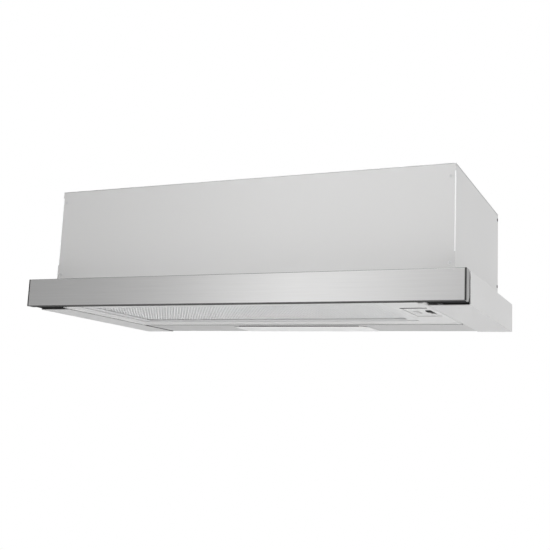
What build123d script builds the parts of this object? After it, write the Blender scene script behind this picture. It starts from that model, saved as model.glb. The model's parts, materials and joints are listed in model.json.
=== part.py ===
"""Telescopic slide-out cooker hood, 60 cm class, drawer closed at rest.

Frame: +X to the right, the fascia faces -Y, +Z up, millimetres. The origin is on the
floor plane of the base, at the middle of the hood's footprint.
"""

import os
from math import acos, cos, degrees, radians, sin

from build123d import *

os.makedirs("parts", exist_ok=True)

# Driving dimensions --------------------------------------------------------------
WIDTH = 598.0  # fascia, end to end
DEPTH = 308.0  # fascia's face to the back of the base
SHEET = 1.0  # all folded steel

FASCIA_Z = (1.3, 38.0)
FASCIA_RETURN = 12.0  # depth of the channel behind the face
FASCIA_LIP = 4.0  # depth of the folded bottom edge
END_CAP_DEPTH = 16.0
TRIM = 2.0  # width of the dark strip at each end of the fascia

BASE_HALF = 297.5
BASE_FRONT = 29.0
BASE_HEIGHT = 39.0
CHEEK_INNER = 250.0  # inner edge of each cheek's underside
RAIL_WALL = 262.5  # inner face of the wall that carries each outer rail

BODY_HALF = 278.5
BODY_FRONT = 33.0
BODY_BACK = 301.0
BODY_TOP = 167.6
FLANGE = 12.0
TAB_LOW = 63.0  # the front panel is full width below this height ...
TAB_HIGH = 159.0  # ... and above this one
TAB_STEP = 1.3
EDGE_SLOT = 8.0  # depth of the slots at the rear edge of each side

TRAVEL = 170.0  # how far the drawer pulls out
DRAWER_HALF = 248.8
DRAWER_BACK = 217.0
DRAWER_TOP = 34.5
FILTER_X = (-222.0, 196.0)
FILTER_D = (19.0, 185.0)
FILTER_Z = (1.8, 9.8)
FILTER_GAP = (3.0, 1.0)  # at the left and at the right
FILTER_BORDER = 11.0
MESH_PACK = 3.0
FILTER_PIVOT_D = 21.0
FILTER_PIVOT_Z = 3.8
PLATE_X = (207.0, 240.0)
PLATE_D = (57.0, 140.0)

REAR_PANEL_D = 220.0
LENS_HALF = 107.0
LENS_D = (241.0, 305.0)
LENS_PIVOT_D = 304.2
LENS_PIVOT_Z = 2.4

SHAFT_Y = 5.0  # blower axis, which runs along X
SHAFT_Z = 103.5
SHAFT_R = 4.0
SQUARE = 7.0  # side of the design square that the volute's four arcs are drawn from
VOLUTE_R = 64.5  # radius of the first and largest arc
VOLUTE_HALF = 60.0
VOLUTE_WALL = 1.5
TONGUE_Y = 18.0  # from the shaft to the front wall of the mouth
MOUTH_Z = 150.0
INLET_R = 36.0
IMPELLER_R = 41.0
IMPELLER_HALF = 54.0
BLADES = 24
MOTOR_R = 42.0
MOTOR_X = (78.0, 134.0)

OUTLET_R = 59.75
OUTLET_WALL = 1.5
OUTLET_TOP = 195.0
OUTLET_Y = SHAFT_Y + (TONGUE_Y + VOLUTE_R + SQUARE / 2) / 2
FLAP_AXIS_Z = 175.2
FLAP_R = 57.5
FIT = 0.05  # radial clearance of a shaft in its bore


def at(depth):
    """Y of a plane that lies this deep behind the fascia's face."""
    return depth - DEPTH / 2


def write(piece, name):
    """Label a finished sub-part and export it."""
    piece.part.label = name
    export_step(piece.part, f"parts/{name}.step")


def slab(x, y, z, mode=Mode.ADD):
    """Box in the part being built, from its low and high X, Y and Z."""
    with Locations(((x[0] + x[1]) / 2, (y[0] + y[1]) / 2, (z[0] + z[1]) / 2)):
        Box(x[1] - x[0], y[1] - y[0], z[1] - z[0], mode=mode)


def rod_x(x, y, z, radius, mode=Mode.ADD):
    """Cylinder along X in the part being built."""
    with Locations(Location(((x[0] + x[1]) / 2, y, z), (0, 90, 0))):
        Cylinder(radius, x[1] - x[0], mode=mode)


def rod_y(x, y, z, radius, mode=Mode.ADD):
    """Cylinder along Y in the part being built."""
    with Locations(Location((x, (y[0] + y[1]) / 2, z), (90, 0, 0))):
        Cylinder(radius, y[1] - y[0], mode=mode)


# Upper housing -------------------------------------------------------------------
SIDE_SCREW_Z = (50.0, 152.0)
BACK_HOLES_X = 200.0
BACK_HOLES_Z = (75.0, 145.0)
TOP_HOLES_X = 240.0
TOP_HOLES_D = (70.0, 270.0)
FIXING_R = 2.75
GLAND_X = -130.0
GLAND_D = 268.0
GLAND_R = 8.0
COLLAR_SCREW_R = 66.0
SCREW_R = 1.9
SCREW_HOLE_R = 2.0


def housing_front_panel():
    """Flat front sheet, stepped in at both edges between its corner tabs."""
    waist = BODY_HALF - TAB_STEP
    with BuildPart() as panel:
        with BuildSketch(Plane.XZ.offset(-at(BODY_FRONT + SHEET))):
            with BuildLine():
                right = Polyline(
                    (0, BASE_HEIGHT),
                    (BODY_HALF, BASE_HEIGHT),
                    (BODY_HALF, TAB_LOW),
                    (waist, TAB_LOW),
                    (waist, TAB_HIGH),
                    (BODY_HALF, TAB_HIGH),
                    (BODY_HALF, BODY_TOP - SHEET),
                    (0, BODY_TOP - SHEET),
                )
                mirror(right, about=Plane.YZ)
            make_face()
        extrude(amount=SHEET)
        for x in (-BODY_HALF + FLANGE / 2, BODY_HALF - FLANGE / 2):
            for z in SIDE_SCREW_Z:
                rod_y(x, (at(BODY_FRONT), at(BODY_FRONT + SHEET)), z, SCREW_HOLE_R, Mode.SUBTRACT)
    write(panel, "housing_front_panel")


def housing_side(side):
    """Side sheet with flanges turned inwards along all four edges."""
    inner = BODY_HALF - SHEET
    lip = BODY_HALF - FLANGE
    front = at(BODY_FRONT + SHEET)
    back = at(BODY_BACK)
    roof = BODY_TOP - SHEET
    with BuildPart() as panel:
        slab((inner, BODY_HALF), (front, back), (BASE_HEIGHT, roof))
        slab((lip, inner), (front, front + SHEET), (BASE_HEIGHT, roof))
        slab((lip, inner), (back - 2 * SHEET, back - SHEET), (BASE_HEIGHT, roof))
        slab((lip, inner), (front + SHEET, back - 2 * SHEET), (BASE_HEIGHT, BASE_HEIGHT + SHEET))
        slab((lip, inner), (front + SHEET, back - 2 * SHEET), (roof - SHEET, roof))
        for z in (TAB_LOW, TAB_HIGH):
            slab((inner, BODY_HALF), (back - EDGE_SLOT, back), (z - 2, z + 2), Mode.SUBTRACT)
        for z in SIDE_SCREW_Z:
            rod_y(BODY_HALF - FLANGE / 2, (front, front + SHEET), z, SCREW_HOLE_R, Mode.SUBTRACT)
        for depth in BASE_SCREW_D:
            with Locations((BODY_HALF - FLANGE / 2, at(depth), BASE_HEIGHT)):
                Cylinder(SCREW_HOLE_R, 4 * SHEET, mode=Mode.SUBTRACT)
        if side == "left":
            mirror(about=Plane.YZ, mode=Mode.REPLACE)
    write(panel, f"housing_{side}_side")


def housing_back_panel():
    """Back sheet with four holes for the screws into the wall."""
    half = BODY_HALF - SHEET - 0.1
    with BuildPart() as panel:
        with BuildSketch(Plane.XZ.offset(-at(BODY_BACK))):
            with BuildLine():
                Polyline(
                    (-half, BASE_HEIGHT),
                    (half, BASE_HEIGHT),
                    (half, BODY_TOP - SHEET),
                    (-half, BODY_TOP - SHEET),
                    close=True,
                )
            make_face()
            with Locations(*[(x, z) for x in (-BACK_HOLES_X, BACK_HOLES_X) for z in BACK_HOLES_Z]):
                Circle(FIXING_R, mode=Mode.SUBTRACT)
        extrude(amount=SHEET)
    write(panel, "housing_back_panel")


def housing_top_panel():
    """Roof sheet with the air outlet, the cable entry and the cabinet screw holes."""
    with BuildPart() as panel:
        with BuildSketch(Plane.XY.offset(BODY_TOP - SHEET)):
            with Locations((0, (at(BODY_FRONT) + at(BODY_BACK)) / 2)):
                Rectangle(2 * BODY_HALF, BODY_BACK - BODY_FRONT)
            with Locations((0, OUTLET_Y)):
                Circle(OUTLET_R - OUTLET_WALL, mode=Mode.SUBTRACT)
                with PolarLocations(COLLAR_SCREW_R, 4, start_angle=45):
                    Circle(SCREW_HOLE_R, mode=Mode.SUBTRACT)
            with Locations((GLAND_X, at(GLAND_D))):
                Circle(GLAND_R, mode=Mode.SUBTRACT)
            with Locations(*[(x, at(d)) for x in (-TOP_HOLES_X, TOP_HOLES_X) for d in TOP_HOLES_D]):
                Circle(FIXING_R, mode=Mode.SUBTRACT)
        extrude(amount=SHEET)
    write(panel, "housing_top_panel")


# Base ----------------------------------------------------------------------------
BASE_SCREW_D = (70.0, 150.0, 230.0)
RAIL_WALL_BACK = 240.0
DECK_OPEN_X = 225.0
DECK_OPEN_D = (66.0, 212.0)
CAP_LOW = 2.0
CAP_PLUG = 12.0  # how far the end cap's plug goes into the cheek


def base_cheek(side):
    """Folded cheek: underside, outer wall, top flange and the wall for the rail."""
    back = at(DEPTH)
    with BuildPart() as cheek:
        with BuildSketch(Plane.XZ.offset(-back)):
            with BuildLine():
                Polyline(
                    (CHEEK_INNER, 0),
                    (BASE_HALF, 0),
                    (BASE_HALF, BASE_HEIGHT),
                    (RAIL_WALL, BASE_HEIGHT),
                    (RAIL_WALL, 3 * SHEET),
                    (RAIL_WALL + SHEET, 3 * SHEET),
                    (RAIL_WALL + SHEET, BASE_HEIGHT - SHEET),
                    (BASE_HALF - SHEET, BASE_HEIGHT - SHEET),
                    (BASE_HALF - SHEET, SHEET),
                    (CHEEK_INNER, SHEET),
                    close=True,
                )
            make_face()
        extrude(amount=DEPTH - BASE_FRONT)
        slab(
            (RAIL_WALL, RAIL_WALL + SHEET),
            (at(RAIL_WALL_BACK), back),
            (2 * SHEET, BASE_HEIGHT - SHEET),
            Mode.SUBTRACT,
        )
        for depth in BASE_SCREW_D:
            with Locations((BODY_HALF - FLANGE / 2, at(depth), BASE_HEIGHT)):
                Cylinder(SCREW_HOLE_R, 4 * SHEET, mode=Mode.SUBTRACT)
        if side == "left":
            mirror(about=Plane.YZ, mode=Mode.REPLACE)
    write(cheek, f"base_{side}_cheek")


def inlet_deck():
    """Plate between the drawer bay and the blower chamber, open over the filter."""
    with BuildPart() as deck:
        with BuildSketch(Plane.XY.offset(BASE_HEIGHT - SHEET)):
            with Locations((0, (at(BASE_FRONT + SHEET) + at(DEPTH - SHEET)) / 2)):
                Rectangle(2 * RAIL_WALL, DEPTH - BASE_FRONT - 2 * SHEET)
            with Locations((0, (at(DECK_OPEN_D[0]) + at(DECK_OPEN_D[1])) / 2)):
                RectangleRounded(
                    2 * DECK_OPEN_X, DECK_OPEN_D[1] - DECK_OPEN_D[0], 6, mode=Mode.SUBTRACT
                )
            with Locations((-240, at(262))):
                Circle(6, mode=Mode.SUBTRACT)
        extrude(amount=SHEET)
    write(deck, "inlet_deck")


def base_rear_panel():
    """Fixed underside behind the drawer, its front lip, its back wall and the lamp opening."""
    half = RAIL_WALL - 0.5
    wall_half = BASE_HALF - SHEET - 0.1
    open_half = LENS_HALF - 2
    back = at(DEPTH)
    front = at(REAR_PANEL_D)
    with BuildPart() as panel:
        slab((-half, half), (front, back), (SHEET, 2 * SHEET))
        slab((-wall_half, wall_half), (back - SHEET, back), (SHEET + 0.05, BASE_HEIGHT - SHEET - 0.05))
        slab((-DRAWER_HALF, DRAWER_HALF), (front, front + SHEET), (2 * SHEET, 14))
        slab((-open_half, open_half), (at(LENS_D[0] + 3), back - SHEET), (0, 3 * SHEET), Mode.SUBTRACT)
    write(panel, "base_rear_panel")


def base_seals():
    """Black foam strip on the rear panel's lip, and the gasket in front of the lamp cover."""
    lip = at(REAR_PANEL_D)
    corner = 12.0
    with BuildPart() as seals:
        slab((-DRAWER_HALF + 1, DRAWER_HALF - 1), (lip - 1.2, lip), (0.2, 13))
        gasket = (at(LENS_D[0] - 3.2), at(LENS_D[0] - 0.3))
        slab((-LENS_HALF + corner, LENS_HALF - corner), gasket, (0.2, SHEET))
    write(seals, "base_seals")


def cheek_end_caps():
    """Black plugs that close the front end of each cheek and pass the rail."""
    front = at(END_CAP_DEPTH + 2)
    edge = at(BASE_FRONT)
    outer = BASE_HALF - SHEET
    with BuildPart() as caps:
        slab((RAIL_WALL + SHEET, outer), (front, edge), (CAP_LOW, BASE_HEIGHT - 1.5))
        slab((CHEEK_INNER + 0.4, RAIL_WALL + SHEET), (front, edge), (CAP_LOW, CAP_LOW + 3))
        slab((RAIL_WALL + 3, outer - 1), (edge, edge + CAP_PLUG), (CAP_LOW, BASE_HEIGHT - 3))
        hollow = (RAIL_WALL + 5, outer - 3)
        slab(hollow, (front + 3, edge + CAP_PLUG), (CAP_LOW + 2, BASE_HEIGHT - 5), Mode.SUBTRACT)
        mirror(about=Plane.YZ)
    write(caps, "cheek_end_caps")


# Telescopic rails ----------------------------------------------------------------
RAIL_SHEET = 1.2
RAIL_D = (32.0, 232.0)
RAIL_OUTER = (252.5, RAIL_WALL)  # from the flanges' tips to the back of the web
RAIL_OUTER_Z = (6.0, 34.0)
RAIL_MIDDLE = (251.5, 258.7)
RAIL_MIDDLE_Z = (8.2, 31.8)
RAIL_INNER = (DRAWER_HALF, 256.5)
RAIL_INNER_Z = (10.4, 29.6)
RAIL_SCREW_D = (50.0, 125.0, 200.0)


def rail_member(x, z, depth, web_outside):
    """C-shaped rail in the part being built, its web on the outer or the inner side."""
    y = (at(depth[0]), at(depth[1]))
    slab(x, y, (z[0], z[0] + RAIL_SHEET))
    slab(x, y, (z[1] - RAIL_SHEET, z[1]))
    web = (x[1] - RAIL_SHEET, x[1]) if web_outside else (x[0], x[0] + RAIL_SHEET)
    slab(web, y, z)


def rail_outer_members():
    """Both rails that are screwed to the cheeks."""
    with BuildPart() as rails:
        rail_member(RAIL_OUTER, RAIL_OUTER_Z, RAIL_D, True)
        mirror(about=Plane.YZ)
    write(rails, "rail_outer_members")


def rail_middle(side):
    """The member that runs half as far as the drawer."""
    with BuildPart() as rail:
        rail_member(RAIL_MIDDLE, RAIL_MIDDLE_Z, (RAIL_D[0] + 1, RAIL_D[1] - 1), True)
        if side == "left":
            mirror(about=Plane.YZ, mode=Mode.REPLACE)
    write(rail, f"rail_middle_{side}")


def rail_inner_members():
    """Both rails that are screwed to the drawer's sides."""
    with BuildPart() as rails:
        rail_member(RAIL_INNER, RAIL_INNER_Z, (RAIL_D[0] - 2, DRAWER_BACK), False)
        mirror(about=Plane.YZ)
    write(rails, "rail_inner_members")


# Drawer --------------------------------------------------------------------------
FRAME_TOP = 8.0
END_PLUG = 13.0  # length of each end cap's plug inside the fascia
ARM_SHEET = 1.2
FRAME_OPEN_X = (FILTER_X[0] - FILTER_GAP[0], FILTER_X[1] + FILTER_GAP[1])
FRAME_OPEN_D = (FILTER_D[0] - 3, FILTER_D[1] + 2)


def fascia_panel():
    """Stainless channel: the face with a deep top fold and a short bottom fold."""
    half = WIDTH / 2 - TRIM
    low, high = FASCIA_Z
    with BuildPart() as panel:
        with BuildSketch(Plane.YZ.offset(-half)):
            with BuildLine():
                Polyline(
                    (at(FASCIA_LIP), low),
                    (at(0.6), low),
                    (at(0), low + 0.6),
                    (at(0), high - 0.6),
                    (at(0.6), high),
                    (at(FASCIA_RETURN + 1), high),
                    (at(FASCIA_RETURN + 1), high - SHEET),
                    (at(SHEET), high - SHEET),
                    (at(SHEET), low + SHEET),
                    (at(FASCIA_LIP), low + SHEET),
                    close=True,
                )
            make_face()
        extrude(amount=2 * half)
    write(panel, "fascia_panel")


def fascia_trims():
    """Dark strips that cover the cut ends of the fascia's face."""
    with BuildPart() as trims:
        slab((WIDTH / 2 - TRIM, WIDTH / 2), (at(0), at(1.2)), FASCIA_Z)
        mirror(about=Plane.YZ)
    write(trims, "fascia_trims")


def fascia_end(side):
    """Moulded end cap: a side plate with a plug that fits into the channel."""
    low, high = FASCIA_Z
    face = WIDTH / 2 - TRIM
    with BuildPart() as cap:
        with BuildSketch(Plane.YZ.offset(face)):
            with BuildLine():
                Polyline(
                    (at(1.2), low),
                    (at(END_CAP_DEPTH - 4), low),
                    (at(END_CAP_DEPTH), low + 5),
                    (at(END_CAP_DEPTH), high),
                    (at(1.2), high),
                    close=True,
                )
            make_face()
        extrude(amount=TRIM - 0.1)
        back = at(FASCIA_RETURN)
        slab((face - END_PLUG, face), (at(SHEET), back), (low + SHEET, high - SHEET))
        hollow = (face - END_PLUG + 2, face - 1.5)
        slab(hollow, (at(SHEET + 2), back), (low + 3.5, high - 3.5), Mode.SUBTRACT)
        if side == "left":
            mirror(about=Plane.YZ, mode=Mode.REPLACE)
    write(cap, f"fascia_end_{side}")


def fascia_carrier():
    """Ribbed black bar in the channel, its foot flush with the frame behind the fascia."""
    half = WIDTH / 2 - TRIM - END_PLUG
    low, high = FASCIA_Z[0] + SHEET, FASCIA_Z[1] - SHEET
    back = at(FASCIA_RETURN)
    ribs = 12
    pitch = 2 * half / ribs
    with BuildPart() as bar:
        slab((-half, half), (at(SHEET), back), (low, high))
        for rib in range(ribs):
            x = -half + rib * pitch
            slab((x + 2, x + pitch - 2), (at(SHEET + 2), back), (low + 2, high - 2), Mode.SUBTRACT)
        foot = WIDTH / 2 - TRIM - 0.1
        slab((-foot, foot), (at(FASCIA_LIP), back), (FASCIA_Z[0], low))
    write(bar, "fascia_carrier")


RIM = 7.0
RIM_DROP = 1.2
RIM_SLOPE = 1.2


def rim_outline(outer, inwards):
    """Section of the low rim under the drawer frame, from its outer edge inwards."""
    low = FASCIA_Z[0]
    steps = ((0, 0.6), (0, 0), (RIM_SLOPE, -RIM_DROP), (RIM - RIM_SLOPE, -RIM_DROP), (RIM, 0), (RIM, 0.6))
    return [(outer + inwards * step, low + z) for step, z in steps]


def drawer_frame():
    """Moulded frame round the filter, with a low rim and the control plate's window."""
    low = FASCIA_Z[0]
    with BuildPart() as frame:
        slab((-DRAWER_HALF, DRAWER_HALF), (at(FASCIA_RETURN), at(DRAWER_BACK)), (low, FRAME_TOP))
        slab(FRAME_OPEN_X, (at(FRAME_OPEN_D[0]), at(FRAME_OPEN_D[1])), (0, FRAME_TOP + 1), Mode.SUBTRACT)
        slab(
            (PLATE_X[0], PLATE_X[1]),
            (at(PLATE_D[0]), at(PLATE_D[1])),
            (0, FRAME_TOP + 1),
            Mode.SUBTRACT,
        )
        for x in (FRAME_OPEN_X[0], FRAME_OPEN_X[1]):
            rod_x((x - 4, x + 4), at(FILTER_PIVOT_D), FILTER_PIVOT_Z, 1 + FIT, Mode.SUBTRACT)
        chamfer(frame.faces().sort_by(Axis.Z)[0].outer_wire().edges(), 0.5)
        half, back = DRAWER_HALF - 0.8, at(DRAWER_BACK - 0.8)
        front = at(FASCIA_RETURN)
        for side in (-1, 1):
            with BuildSketch(Plane.XZ.offset(-front)):
                with BuildLine():
                    Polyline(*rim_outline(side * half, -side), close=True)
                make_face()
            extrude(amount=front - back)
        with BuildSketch(Plane.YZ.offset(-half)):
            with BuildLine():
                Polyline(*rim_outline(back, -1), close=True)
            make_face()
        extrude(amount=2 * half)
    write(frame, "drawer_frame")


def drawer_side(side):
    """Side arm of the drawer, standing on the frame and carrying the inner rail."""
    y = (at(FASCIA_RETURN), at(DRAWER_BACK))
    wall = DRAWER_HALF - ARM_SHEET
    with BuildPart() as arm:
        slab((wall, DRAWER_HALF), y, (FRAME_TOP, DRAWER_TOP - SHEET))
        slab((wall - 9, wall), y, (FRAME_TOP, FRAME_TOP + ARM_SHEET))
        if side == "left":
            mirror(about=Plane.YZ, mode=Mode.REPLACE)
    write(arm, f"drawer_side_{side}")


def drawer_top_cover():
    """Sheet over the filter that leads the air back to the deck, folded down behind."""
    y = (at(FASCIA_RETURN), at(DRAWER_BACK))
    with BuildPart() as cover:
        slab((-DRAWER_HALF, DRAWER_HALF), y, (DRAWER_TOP - SHEET, DRAWER_TOP))
        slab(
            (-DRAWER_HALF + 12, DRAWER_HALF - 12),
            (at(DRAWER_BACK - SHEET), at(DRAWER_BACK)),
            (DRAWER_TOP - 7, DRAWER_TOP - SHEET),
        )
    write(cover, "drawer_top_cover")


# Grease filter -------------------------------------------------------------------
def filter_frame():
    """Aluminium channel frame of the grease filter, with corner notches behind."""
    x0, x1 = FILTER_X
    y0, y1 = at(FILTER_D[0]), at(FILTER_D[1])
    notch = 2.5
    with BuildPart() as frame:
        slab((x0, x1), (y0, y1), FILTER_Z)
        slab(
            (x0 + FILTER_BORDER, x1 - FILTER_BORDER),
            (y0 + FILTER_BORDER, y1 - FILTER_BORDER),
            (0, FILTER_Z[1] + 1),
            Mode.SUBTRACT,
        )
        slab(
            (x0 + 1, x1 - 1),
            (y0 + 1, y1 - 1),
            (FILTER_Z[0] + 1, FILTER_Z[1] - 1),
            Mode.SUBTRACT,
        )
        for x in (x0, x1 - notch):
            slab((x, x + notch), (y1 - notch, y1), (0, FILTER_Z[1] + 1), Mode.SUBTRACT)
        for x in (x0, x1):
            rod_x((x - 2, x + 2), at(FILTER_PIVOT_D), FILTER_PIVOT_Z, 1, Mode.SUBTRACT)
    write(frame, "filter_frame")


def filter_mesh():
    """Pack of expanded aluminium mesh held in the frame's channel."""
    inset = 1.2 + 2.5
    with BuildPart() as mesh:
        slab(
            (FILTER_X[0] + inset, FILTER_X[1] - inset),
            (at(FILTER_D[0]) + inset, at(FILTER_D[1]) - inset),
            (FILTER_Z[0] + 1.2, FILTER_Z[0] + 1.2 + MESH_PACK),
        )
    write(mesh, "filter_mesh")


def filter_pivot_pins():
    """Steel pins at the filter's front corners, on which it swings down."""
    with BuildPart() as pins:
        for x in ((FILTER_X[0] - 6, FILTER_X[0] + 3), (FILTER_X[1] - 3, FILTER_X[1] + 4)):
            rod_x(x, at(FILTER_PIVOT_D), FILTER_PIVOT_Z, 1)
    write(pins, "filter_pivot_pins")


def filter_spring_clips():
    """Spring clips on the rear member that grip the back edge of the filter."""
    edge = at(FRAME_OPEN_D[1])
    strip = 0.8
    with BuildPart() as clips:
        for x in (-120, 94):
            width = (x - 8, x + 8)
            slab(width, (edge + 2, edge + 14), (FRAME_TOP, FRAME_TOP + strip))
            slab(width, (edge + 2, edge + 2 + strip), (FRAME_TOP + strip, FRAME_TOP + 5))
            slab(width, (edge - 8, edge + 2 + strip), (FRAME_TOP + 5, FRAME_TOP + 5 + strip))
            slab(width, (edge - 8, edge - 8 + strip), (FRAME_TOP + 2.2, FRAME_TOP + 5))
    write(clips, "filter_spring_clips")


# Controls ------------------------------------------------------------------------
PLATE_Z = (2.3, 4.3)
BEZEL = 4.5  # depth of the switch module's black bar at the front of the plate
FAN_SLOT_X = (230.0, 237.0)
FAN_SLOT_D = (88.0, 126.0)
LIGHT_SLOT_X = (213.0, 220.0)
LIGHT_SLOT_D = (96.0, 118.0)
KNOB_LENGTH = 11.0
KNOB_LOW = 1.0
SLIDE_PLAY = 0.4


def control_plate():
    """Recessed plate with one slot for each sliding switch."""
    with BuildPart() as plate:
        slab(
            (PLATE_X[0] + 0.15, PLATE_X[1] - 0.15),
            (at(PLATE_D[0] + BEZEL) + 0.1, at(PLATE_D[1]) - 0.15),
            PLATE_Z,
        )
        for slot_x, slot_d in ((FAN_SLOT_X, FAN_SLOT_D), (LIGHT_SLOT_X, LIGHT_SLOT_D)):
            slab(slot_x, (at(slot_d[0]), at(slot_d[1])), (0, PLATE_Z[1] + 1), Mode.SUBTRACT)
    write(plate, "control_plate")


def slider_knob(name, slot_x, slot_d):
    """Sliding knob: ridged grip below the plate and a stem that enters the switch."""
    y0 = at(slot_d[0]) + 1
    with BuildPart() as knob:
        slab((slot_x[0] + SLIDE_PLAY, slot_x[1] - SLIDE_PLAY), (y0, y0 + KNOB_LENGTH), (KNOB_LOW, 6.4))
        chamfer(knob.faces().sort_by(Axis.Z)[0].edges(), 0.5)
        for groove in range(3):
            y = y0 + 3 + 2.2 * groove
            slab(slot_x, (y, y + 0.8), (KNOB_LOW, KNOB_LOW + 0.5), Mode.SUBTRACT)
        slab((slot_x[0] + 2, slot_x[1] - 2), (y0 + 3, y0 + KNOB_LENGTH - 3), (6.4, 10))
    write(knob, name)


def switch_module():
    """Body of the fan and lamp switches above the plate, with a channel for each stem."""
    y = (at(PLATE_D[0] + 6), at(PLATE_D[1] - 6))
    with BuildPart() as module:
        slab((PLATE_X[0] + 2, PLATE_X[1] - 2), y, (7.0, 26.0))
        bezel = (at(PLATE_D[0]) + 0.15, at(PLATE_D[0] + BEZEL))
        slab((PLATE_X[0] + 0.15, PLATE_X[1] - 0.15), bezel, (FASCIA_Z[0] - 0.3, 7.8))
        slab((PLATE_X[0] + 2, PLATE_X[1] - 2), (bezel[0], y[0]), (7.0, 9.0))
        for slot_x, slot_d in ((FAN_SLOT_X, FAN_SLOT_D), (LIGHT_SLOT_X, LIGHT_SLOT_D)):
            slab(
                (slot_x[0] + 1.4, slot_x[1] - 1.4),
                (at(slot_d[0] + 2), at(slot_d[1] - 2)),
                (6.0, 11.0),
                Mode.SUBTRACT,
            )
        for step in range(5):
            x = PLATE_X[0] + 6 + 5 * step
            slab((x, x + 0.8), (y[0] + 8, y[0] + 16), (26.0, 32.0))
    write(module, "switch_module")


MICRO_X = (150.0, 170.0)
MICRO_D = (219.5, 232.0)
MICRO_Z = (26.0, 38.0)
PLUNGER_R = 1.5
PLUNGER_Z = 30.5


def microswitch_body():
    """Interlock switch under the deck, behind the drawer."""
    with BuildPart() as body:
        slab(MICRO_X, (at(MICRO_D[0] + 1.5), at(MICRO_D[1])), MICRO_Z)
        rod_y(160, (at(MICRO_D[0]), at(MICRO_D[0] + 8)), PLUNGER_Z, PLUNGER_R + FIT, Mode.SUBTRACT)
        for x in (153, 167):
            rod_y(x, (at(MICRO_D[0]), at(MICRO_D[1] + 1)), 34.5, 1.2, Mode.SUBTRACT)
    write(body, "microswitch_body")


def microswitch_plunger():
    """Sprung plunger that the back of the drawer presses."""
    with BuildPart() as plunger:
        rod_y(160, (at(DRAWER_BACK + 0.35), at(MICRO_D[0] + 5)), PLUNGER_Z, PLUNGER_R)
        chamfer(plunger.faces().sort_by(Axis.Y)[0].edges(), 0.4)
    write(plunger, "microswitch_plunger")


# Lamp ----------------------------------------------------------------------------
LAMP_BOX_HALF = 112.0
LAMP_BOX_D = (242.0, 301.5)
LAMP_BOX_Z = (2.0, 24.0)
LAMP_Z = 13.0
LAMP_D = 271.0
KNUCKLE_X = (86.0, 94.0)


def lamp_housing():
    """Reflector tray over the lamps, with the two ears that hold the lens's pivots."""
    sheet = 0.8
    y0, y1 = at(LAMP_BOX_D[0]), at(LAMP_BOX_D[1])
    with BuildPart() as tray:
        slab((-LAMP_BOX_HALF, LAMP_BOX_HALF), (y0, y1), LAMP_BOX_Z)
        slab(
            (-LAMP_BOX_HALF + sheet, LAMP_BOX_HALF - sheet),
            (y0 + sheet, y1 - sheet),
            (0, LAMP_BOX_Z[1] - sheet),
            Mode.SUBTRACT,
        )
        for side in (-1, 1):
            ear = sorted((side * (KNUCKLE_X[1] + 0.4), side * (KNUCKLE_X[1] + 2.4)))
            slab(ear, (y1 - sheet, at(306.5)), (LAMP_BOX_Z[0] - 0.8, 7))
            rod_x(ear, at(LENS_PIVOT_D), LENS_PIVOT_Z, 0.8 + FIT, Mode.SUBTRACT)
    write(tray, "lamp_housing")


def lamp_lens():
    """Translucent cover with slanted front corners, an inner rim and moulded pivots."""
    corner = 14.0
    neck = LENS_HALF - 2.5
    y0, y1 = at(LENS_D[0]), at(LENS_D[1])
    with BuildPart() as lens:
        with BuildSketch(Plane.XY.offset(0.1)):
            with BuildLine():
                right = Polyline(
                    (0, y0),
                    (LENS_HALF - corner, y0),
                    (LENS_HALF, y0 + corner * 0.6),
                    (LENS_HALF, y1 - 6),
                    (neck, y1 - 6),
                    (neck, y1),
                    (0, y1),
                )
                mirror(right, about=Plane.YZ)
            make_face()
        extrude(amount=0.8)
        rim = (LAMP_BOX_D[0] + 5, LAMP_BOX_D[1] - 3)
        slab((-neck + 4, neck - 4), (at(rim[0]), at(rim[1])), (0.5, 3.2))
        slab((-neck + 5.2, neck - 5.2), (at(rim[0] + 1.2), at(rim[1] - 1.2)), (0.9, 5), Mode.SUBTRACT)
        for side in (-1, 1):
            notch = sorted((side * (KNUCKLE_X[1] + 0.1), side * (KNUCKLE_X[1] + 4)))
            slab(notch, (at(LENS_PIVOT_D) - 3, y1), (0, 2), Mode.SUBTRACT)
            span = sorted((side * KNUCKLE_X[0], side * KNUCKLE_X[1]))
            rod_x(span, at(LENS_PIVOT_D), LENS_PIVOT_Z, 1.6)
            slab(span, (at(LENS_PIVOT_D) - 1.2, at(LENS_PIVOT_D) + 0.9), (0.5, LENS_PIVOT_Z))
            pin = sorted((side * KNUCKLE_X[0], side * (KNUCKLE_X[1] + 3)))
            rod_x(pin, at(LENS_PIVOT_D), LENS_PIVOT_Z, 0.8)
    write(lens, "lamp_lens")


def lamp_holders():
    """Sockets at the two ends of the reflector tray."""
    y = at(LAMP_D)
    wall = LAMP_BOX_HALF - 0.8
    with BuildPart() as holders:
        rod_x((LAMP_BOX_HALF - 18, wall), y, LAMP_Z, 9)
        slab((LAMP_BOX_HALF - 8, wall), (y - 11, y + 11), (LAMP_Z - 9, LAMP_Z + 10.2))
        rod_x((LAMP_BOX_HALF - 19, LAMP_BOX_HALF - 8), at(LAMP_D), LAMP_Z, 6.5, Mode.SUBTRACT)
        mirror(about=Plane.YZ)
    write(holders, "lamp_holders")


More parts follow.
